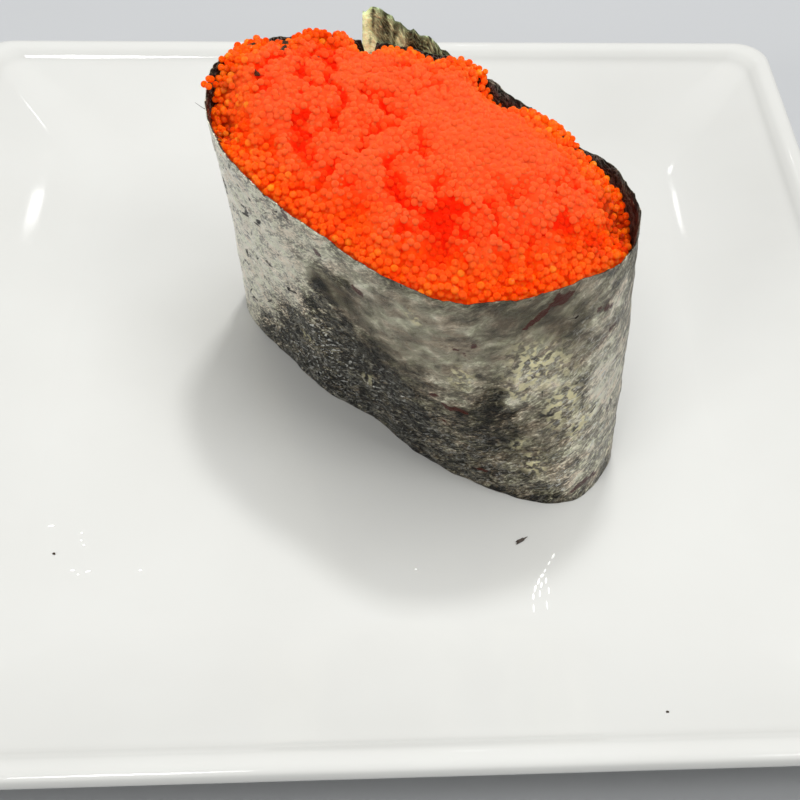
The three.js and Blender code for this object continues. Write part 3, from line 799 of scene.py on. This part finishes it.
def settle_eggs():
    """Drops the eggs one by one into the lowest of a few places until the heap is full."""
    random = np.random.default_rng(11)
    low, high = rim_oval[1].min(0), rim_oval[1].max(0)
    cell = 1.0
    trays = {}
    eggs = []
    misses = 0
    while misses < MISSES_ALLOWED:
        xs = random.uniform(low[0], high[0], BATCH)
        ys = random.uniform(low[1], high[1], BATCH)
        inside, around = rim_distance(xs, ys)
        at_tear = (inside < 1.5) & (np.abs(around - tip_around + 0.007) < 0.011)
        keep = (inside > -0.15) & ~at_tear
        xs, ys, inside, around = xs[keep], ys[keep], inside[keep], around[keep]
        tops = heap_level(xs, ys, inside, around)
        rims = rim_level(xs, ys) + np.interp(around, *zip(*RIM_WAVES))
        for first in range(0, len(xs) - CHOICES, CHOICES):
            best = None
            radius = EGG_RADIUS * (1 + 0.06 * random.standard_normal())
            for k in range(first, first + CHOICES):
                x, y, top = xs[k], ys[k], tops[k] - radius
                rest = top - EGG_DEPTH
                cx, cy = int(x // cell), int(y // cell)
                for i in (cx - 1, cx, cx + 1):
                    for j in (cy - 1, cy, cy + 1):
                        for ex, ey, ez, er in trays.get((i, j), ()):
                            reach = (er + radius) * EGG_SQUEEZE
                            flat_gap = (ex - x) ** 2 + (ey - y) ** 2
                            if flat_gap < reach * reach:
                                rest = max(rest, ez + math.sqrt(reach * reach - flat_gap))
                if inside[k] < SHEET + radius + 0.05:
                    rest = max(rest, rims[k] + 0.85 * radius)
                if best is None or rest - top < best[0]:
                    best = (rest - top, x, y, rest, radius, inside[k])
            if best[0] > 0:
                misses += 1
                if misses >= MISSES_ALLOWED:
                    break
                continue
            misses = 0
            _, x, y, z, radius, edge = best
            trays.setdefault((int(x // cell), int(y // cell)), []).append((x, y, z, radius))
            eggs.append((x, y, z, radius, edge, best[0]))
    return np.array(eggs)


eggs = settle_eggs()
# A few eggs hang over the rim at the left end
OVERHANGING = [(-21.1, 9.3, 0.5), (-20.5, 8.6, 0.75), (-20.6, 10.1, 0.7), (-20.2, 9.4, 1.2)]
for x, y, rise in OVERHANGING:
    eggs = np.vstack([eggs, (x, y, rim_level(x, y) + rise, EGG_RADIUS, 0.0, 0.0)])


def ball(steps):
    """Points and faces of a round ball of radius 1."""
    form = bmesh.new()
    bmesh.ops.create_icosphere(form, subdivisions=steps, radius=1.0)
    points = np.array([v.co for v in form.verts])
    faces = np.array([[v.index for v in face.verts] for face in form.faces])
    form.free()
    return points, faces


ball_points, ball_faces = ball(2)


def make_eggs(name, chosen):
    """One mesh of many eggs, each turned its own way, with its place in the heap on its points."""
    random = np.random.default_rng(len(name))
    count = len(chosen)
    spin, _ = np.linalg.qr(random.standard_normal((count, 3, 3)))
    spin *= np.sign(np.linalg.det(spin))[:, None, None]
    points = np.einsum("nij,pj->npi", spin, ball_points) * chosen[:, 3][:, None, None]
    points += chosen[:, None, :3]
    shift = (np.arange(count) * len(ball_points))[:, None, None]
    faces = (ball_faces[None] + shift).reshape(-1, 3)
    piece = build_piece(name, points.reshape(-1, 3), faces.tolist())
    each = len(ball_points)
    x, y = chosen[:, 0], chosen[:, 1]
    # Painted shade: eggs low among the clumps and in the valleys get a deeper red.
    valley_shade_and_press = -0.02 - 0.5 * lump_rise(x, y) + valley_shade(x, y)
    looseness = egg_looseness(chosen[:, 4] + 1.6 * drift(x / 2.6, y / 2.6, 23))
    # Along the near rim the eggs lie pressed together, redder and less clear
    pressed = looseness * np.clip((-y - 6) / 8, 0, 1)
    looks = {
        "valley_shade_and_press": valley_shade_and_press + 0.45 * pressed,
        "loose": looseness - 0.4 * pressed,
        "egg_tone": random.random(count),
        "shade": roe_shade(x, y) * np.clip(1.6 * random.random(count) - 0.2, 0, 1),
    }
    for look, values in looks.items():
        set_points(piece, look, np.repeat(values, each))
    return piece


# Milky colours from the heap's top to its deepest valleys; the deeper reds are painted shade.
MILKY_SHADES = [
    (0.0, (1.0, 0.089, 0.022)),
    (0.3, (1.0, 0.063, 0.0115)),
    (0.65, (1.0, 0.032, 0.003)),
    (1.0, (0.9, 0.01, 0.0005)),
]
CLEAR_SHADES = [(0.0, (0.97, 0.06, 0.001)), (0.85, (1.0, 0.12, 0.001)), (1.0, (1.0, 0.25, 0.008))]
SHEET_SHADOW = (0.3, 0.2, 0.25)
MILKY_WAY_UP = (0.0, -0.5, 2.3)


def egg_material(name):
    """Clear orange-red eggs: milky coral on the heap, painted deep red shade in its hollows, orange
    at its edge.
    """
    material, tree, shader = new_material(name)
    loose = kept_value(tree, "loose")
    egg_tone = kept_value(tree, "egg_tone")
    milky = colour_ramp(tree, kept_value(tree, "valley_shade_and_press"), MILKY_SHADES)
    tint = mix_colour(tree, loose, milky, colour_ramp(tree, egg_tone, CLEAR_SHADES))
    shaded = mix_colour(tree, 1.0, tint, SHEET_SHADOW, "MULTIPLY")
    tint = mix_colour(tree, kept_value(tree, "shade"), tint, shaded)
    # Where the eggs stick together their shading runs on from one to the next, most of it upwards
    way = add_node(tree, "ShaderNodeNewGeometry").outputs["Normal"]
    even_way = add_node(tree, "ShaderNodeVectorMath", {0: way, 1: MILKY_WAY_UP}, operation="ADD")
    ways = {0: spread(tree, loose, 0.0, 1.0, 0.0, 0.6), 4: even_way.outputs["Vector"], 5: way}
    soft_way = add_node(tree, "ShaderNodeMix", ways, data_type="VECTOR").outputs[1]
    shading_way = add_node(tree, "ShaderNodeVectorMath", {0: soft_way}, operation="NORMALIZE")
    # Light that passes through the eggs comes out again low on their sides
    lift = add_node(tree, "ShaderNodeSeparateXYZ", {"Vector": way}).outputs["Z"]
    firm = spread(tree, loose, 0, 1, 1, 0.95)
    side_glow = math_node(tree, "MULTIPLY", spread(tree, lift, 0.95, 0.1), firm)
    dullness = spread(tree, loose, 0.2, 1.0, 0.42, 0.2)
    egg_look = {
        "Base Color": tint,
        "Normal": shading_way.outputs["Vector"],
        "Emission Color": mix_colour(tree, side_glow, (0.0, 0.0, 0.0), tint),
        "Emission Strength": 0.24,
        "Roughness": dullness,
        "Specular IOR Level": 0.35,
        "Specular Tint": (1.0, 0.45, 0.1, 1.0),
        "Coat Weight": math_node(tree, "MULTIPLY", loose, spread(tree, egg_tone, 0.3, 0.8, 0.0, 0.7)),
        "Coat Roughness": 0.12,
        "Coat Tint": (1.0, 0.95, 0.85, 1.0),
        "Subsurface Weight": 1.0,
        "Subsurface Radius": (1.0, 0.25, 0.08),
        "Subsurface Scale": 0.002,
    }
    set_inputs(tree, shader, egg_look)
    return material


EDGE_ZONE = 2.6
EDGE_SCATTER = 2.5
DEEP_FROM = -0.55

egg_skin = egg_material("capelin_egg")
toss = np.random.default_rng(5).random(len(eggs))
near_rim = eggs[:, 4] < EDGE_ZONE + EDGE_SCATTER * toss
deep = (eggs[:, 5] < DEEP_FROM) & ~near_rim
kinds = [("coral_eggs", ~near_rim & ~deep), ("deep_eggs", deep), ("orange_eggs", near_rim)]
for name, mask in kinds:
    piece = make_eggs(name, eggs[mask])
    piece.data.materials.append(egg_skin)
    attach(piece, "root")


CORE_COLUMNS = 240
CORE_SIDE_ROWS = 9
CORE_TOP_ROWS = 40


def make_core():
    """The closed lump of roe under the single eggs."""
    count = CORE_COLUMNS
    around = np.linspace(0, 1, count, endpoint=False)
    rings = []
    for up in np.linspace(0, 0.9, CORE_SIDE_ROWS):
        rings.append(band_point(around, np.full(count, up), np.full(count, -ROE_INSET)))
    edge = rings[-1]
    centre = edge.mean(0)
    for share in np.linspace(0.02, 0.98, CORE_TOP_ROWS):
        ring = edge + (centre - edge) * share
        inside, nearest = rim_distance(ring[:, 0], ring[:, 1])
        sunk = 0.5 + 0.85 * np.clip(1 - inside / 5, 0, 1)
        ring[:, 2] = heap_level(ring[:, 0], ring[:, 1], inside, nearest) - sunk
        rings.append(ring)
    return np.concatenate(rings), ring_faces(len(rings), count)


core = build_piece("roe_core", *make_core())
core_x, core_y, _ = np.array([v.co for v in core.data.vertices]).T / MM
core_inside, _ = rim_distance(core_x, core_y)
# Painted shade: the lump under the eggs is a deeper red than they are, more so in the valleys.
set_points(core, "valley_shade_and_press", 0.3 + valley_shade(core_x, core_y))
set_points(core, "shade", roe_shade(core_x, core_y))
set_points(core, "loose", egg_looseness(core_inside))
set_points(core, "egg_tone", np.full(len(core_x), 0.3))
core.data.materials.append(egg_skin)
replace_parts(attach(core, "root"), "roe")

# The seaweed bits
# Crumbs torn off the toasted sheet: a few lie among the eggs at the back, one long crumb and two
# specks lie on the dish. Each is a thin, slightly bent flake.
BITS_ON_ROE = [
    (-11.8, 15.2, 0.75, 0.35, 70),
    (-11.4, 14.2, 0.5, 0.3, 20),
    (-8.3, 13.1, 0.6, 0.45, 10),
    (-7.7, 12.8, 0.4, 0.3, 60),
    (-14.8, 9.7, 0.75, 0.25, -55),
    (-11.9, 17.6, 0.6, 0.35, 0),
    (-15.8, 16.2, 0.5, 0.3, 30),
    (-19.3, 2.6, 0.6, 0.4, -70),
]
BITS_ON_DISH = [
    (16.3, -32.2, DISH_FLOOR, 0.7, 0.24, 25),
    (-39.4, -32.8, DISH_FLOOR, 0.16, 0.12, 0),
    (29.8, -57.7, 12.1, 0.16, 0.13, 0),
]
BIT_THICKNESS = 0.12
BIT_SUNK = 0.4


def make_flakes(flakes):
    """Thin irregular flakes, each closed, from plan place, underside, half sizes and slant."""
    random = np.random.default_rng(3)
    points, faces = [], []
    sides = 14
    for x, y, z, half_length, half_width, slant in flakes:
        angle = np.linspace(0, 2 * math.pi, sides, endpoint=False)
        reach = 1 + 0.22 * random.standard_normal(sides)
        along = half_length * reach * np.cos(angle)
        across = half_width * reach * np.sin(angle)
        east, north = along_slant(along, across, -slant)
        ring = np.stack([x + east, y + north], 1)
        bend = 0.15 * half_length * (np.cos(2 * angle) + 1)
        start = len(points)
        for lift in (0.02, 0.02 + BIT_THICKNESS):
            points += np.column_stack([ring, z + lift + bend]).tolist()
        faces += ring_faces(2, sides, start)
    return points, faces


flakes = list(BITS_ON_DISH)
for x, y, half_length, half_width, slant in BITS_ON_ROE:
    at_x, at_y = np.array([x]), np.array([y])
    top = heap_level(at_x, at_y, *rim_distance(at_x, at_y))[0]
    flakes.append((x, y, top - BIT_SUNK, half_length, half_width, slant))
bits = build_piece("seaweed_bits", *make_flakes(flakes), smooth=False)
toasted, tree, shader = new_material("toasted_seaweed")
set_inputs(tree, shader, {"Base Color": (0.03, 0.016, 0.006, 1.0), "Roughness": 0.4})
bits.data.materials.append(toasted)
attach(bits, "root")

# The stray fibre
# One thin dark fibre of the sheet that springs from its left end below the rim, outwards and up.
FIBRE_PATH = [(-20.8, 8.05, 42.15), (-21.3, 8.2, 42.2), (-21.9, 8.5, 42.45), (-22.4, 8.7, 42.75)]
FIBRE_RADIUS = 0.045


def make_fibre():
    """A tapering six-sided tube along the path, closed at both ends."""
    path = smooth_path(FIBRE_PATH, 6)
    ways = np.gradient(path, axis=0)
    points = []
    for row, (middle, way) in enumerate(zip(path, ways)):
        flat_way = np.cross(way, (0, 0, 1))
        flat_way /= np.linalg.norm(flat_way)
        up_way = np.cross(flat_way, way) / np.linalg.norm(way)
        radius = FIBRE_RADIUS * (1 - 0.6 * row / (len(path) - 1))
        for angle in np.arange(6) * math.pi / 3:
            side_way = flat_way * math.cos(angle) + up_way * math.sin(angle)
            points.append(middle + radius * side_way)
    return np.array(points), ring_faces(len(path), 6)


fibre = build_piece("stray_fibre", *make_fibre())
fibre_look, tree, shader = new_material("seaweed_fibre")
set_inputs(tree, shader, {"Base Color": (0.06, 0.055, 0.045, 1.0), "Roughness": 0.5})
fibre.data.materials.append(fibre_look)
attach(fibre, "root")

# The drops
# Small drops of roe juice on the glaze: a drawn-out row of them in front of the roll and
# a few single ones on the floor's left side. Each is a low dome with a flat underside.
# Their glitter is a painted highlight: a near-white colour and a faint glow.
DROPS = [
    (20.1, -34.5, 0.45, 0.14, 62),
    (19.5, -35.5, 0.35, 0.1, 60),
    (18.9, -36.6, 0.3, 0.12, 62),
    (18.5, -37.3, 0.35, 0.2, 50),
    (18.0, -38.1, 0.5, 0.16, 70),
    (17.5, -39.1, 0.55, 0.15, 75),
    (17.2, -40.2, 0.5, 0.13, 85),
    (18.9, -38.0, 0.45, 0.14, 80),
    (19.1, -39.4, 0.5, 0.12, 88),
    (18.3, -38.6, 0.45, 0.13, 80),
    (18.0, -39.8, 0.5, 0.12, 85),
    (17.1, -41.8, 0.6, 0.09, 88),
    (18.7, -41.4, 0.6, 0.09, 92),
    (-40.4, -28.7, 0.4, 0.16, 10),
    (-36.6, -29.8, 0.16, 0.14, 0),
    (-36.5, -30.9, 0.14, 0.12, 0),
    (-36.1, -31.6, 0.18, 0.14, 30),
    (-36.9, -35.2, 0.3, 0.14, 0),
    (-36.2, -35.8, 0.16, 0.12, 0),
    (-35.1, -35.4, 0.35, 0.12, 15),
    (-29.0, -35.4, 0.2, 0.16, 0),
    (3.5, -36.0, 0.16, 0.13, 0),
]


def make_drops():
    """All drops as low domes in one mesh."""
    dome_points, dome_faces = ball(3)
    points, faces = [], []
    for x, y, half_length, half_width, slant in DROPS:
        along, across = dome_points[:, 0] * half_length, dome_points[:, 1] * half_width
        east, north = along_slant(along, across, -slant)
        z = DISH_FLOOR + 0.01 + np.maximum(dome_points[:, 2], 0) * 0.6 * half_width
        dome = np.stack([x + east, y + north, z], 1)
        faces += (dome_faces + len(points)).tolist()
        points += dome.tolist()
    return points, faces


drops = build_piece("juice_drops", *make_drops())
juice, tree, shader = new_material("juice_painted_glint")
# Painted highlight: near-white and faintly glowing, so the drops show brighter than the glaze.
juice_glint_look = {
    "Base Color": (0.95, 0.95, 0.93, 1.0),
    "Roughness": 0.08,
    "IOR": 1.34,
    "Emission Color": (1.0, 1.0, 0.98, 1.0),
    "Emission Strength": 0.1,
}
set_inputs(tree, shader, juice_glint_look)
drops.data.materials.append(juice)
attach(drops, "root")

# The table
# A plain pale board under the dish, wide enough to fill every view. It stands in for the photograph's
# black backdrop and is no part of the dish.
ground = build_piece(
    "table",
    [(-2000, -2000, 0), (2000, -2000, 0), (2000, 2000, 0), (-2000, 2000, 0)],
    [(0, 1, 2, 3)],
)
board, tree, shader = new_material("pale_board")
set_inputs(tree, shader, {"Base Color": (0.45, 0.46, 0.47, 1.0), "Roughness": 0.7})
ground.data.materials.append(board)

# The light
# Small lamps behind and in front, broad ones at the right and low at the left, and a large soft one
# overhead, in an evenly lit pale room. The ones behind and at the right throw the roll's two shadows;
# a very small dim one far behind only glitters in the glaze and on the eggs.
ROLL_AT = Vector((0.004, -0.002, 0.025))


def add_lamp(name, way, distance, size, power):
    """A square lamp in the given direction from the roll, turned to face it."""
    lamp = bpy.data.lights.new(name, "AREA")
    lamp.size = size
    lamp.energy = power
    holder = bpy.data.objects.new(name, lamp)
    bpy.context.scene.collection.objects.link(holder)
    holder.location = ROLL_AT + Vector(way).normalized() * distance
    holder.rotation_euler = (ROLL_AT - holder.location).to_track_quat("-Z", "Y").to_euler()
    return holder


add_lamp("lamp_behind", (3.5, 16.5, 34), 0.81, 0.08, 2.5).visible_glossy = False
add_lamp("lamp_small", (4, 41, 34), 0.8, 0.025, 0.014)
add_lamp("lamp_right", (21, -11, 34), 0.82, 0.3, 1.5)
add_lamp("lamp_front", (-9, -15, 34), 0.8, 0.14, 0.9)
add_lamp("lamp_left", (-18, -16, 12), 0.9, 0.3, 1.85).visible_glossy = False
add_lamp("lamp_overhead", (2, 5, 34), 0.72, 0.5, 3.2).visible_glossy = False
room = bpy.data.worlds.new("room")
bpy.context.scene.world = room
room.use_nodes = True
backdrop = room.node_tree.nodes["Background"]
set_inputs(room.node_tree, backdrop, {"Color": (1.0, 1.0, 0.99, 1.0), "Strength": 0.24})
bpy.context.scene.view_settings.view_transform = "Standard"

# The camera
# It looks down on the dish from the front, a little from the left, as the photograph does. Its place,
# turns and lens were fitted to the dish's edges and to the roll's outline.
PITCH, ROLL, YAW = math.radians(48.448), math.radians(-3.158), math.radians(5.168)
CAMERA_AT = Vector((-0.00027, -0.12352, 0.13762))
forward = Vector(
    (math.sin(YAW) * math.cos(PITCH), math.cos(YAW) * math.cos(PITCH), -math.sin(PITCH))
)
side = Vector((math.cos(YAW), -math.sin(YAW), 0))
down = forward.cross(side)
right = math.cos(ROLL) * side + math.sin(ROLL) * down
below = -math.sin(ROLL) * side + math.cos(ROLL) * down
lens = bpy.data.cameras.new("camera")
lens.lens = 58.5
lens.sensor_width = 36.0
lens.shift_x = -0.075
lens.clip_start = 0.01
lens.clip_end = 10.0
camera = bpy.data.objects.new("camera", lens)
bpy.context.scene.collection.objects.link(camera)
turn = Matrix((right, -below, -forward)).transposed()
camera.matrix_world = Matrix.Translation(CAMERA_AT) @ turn.to_4x4()
bpy.context.scene.camera = camera
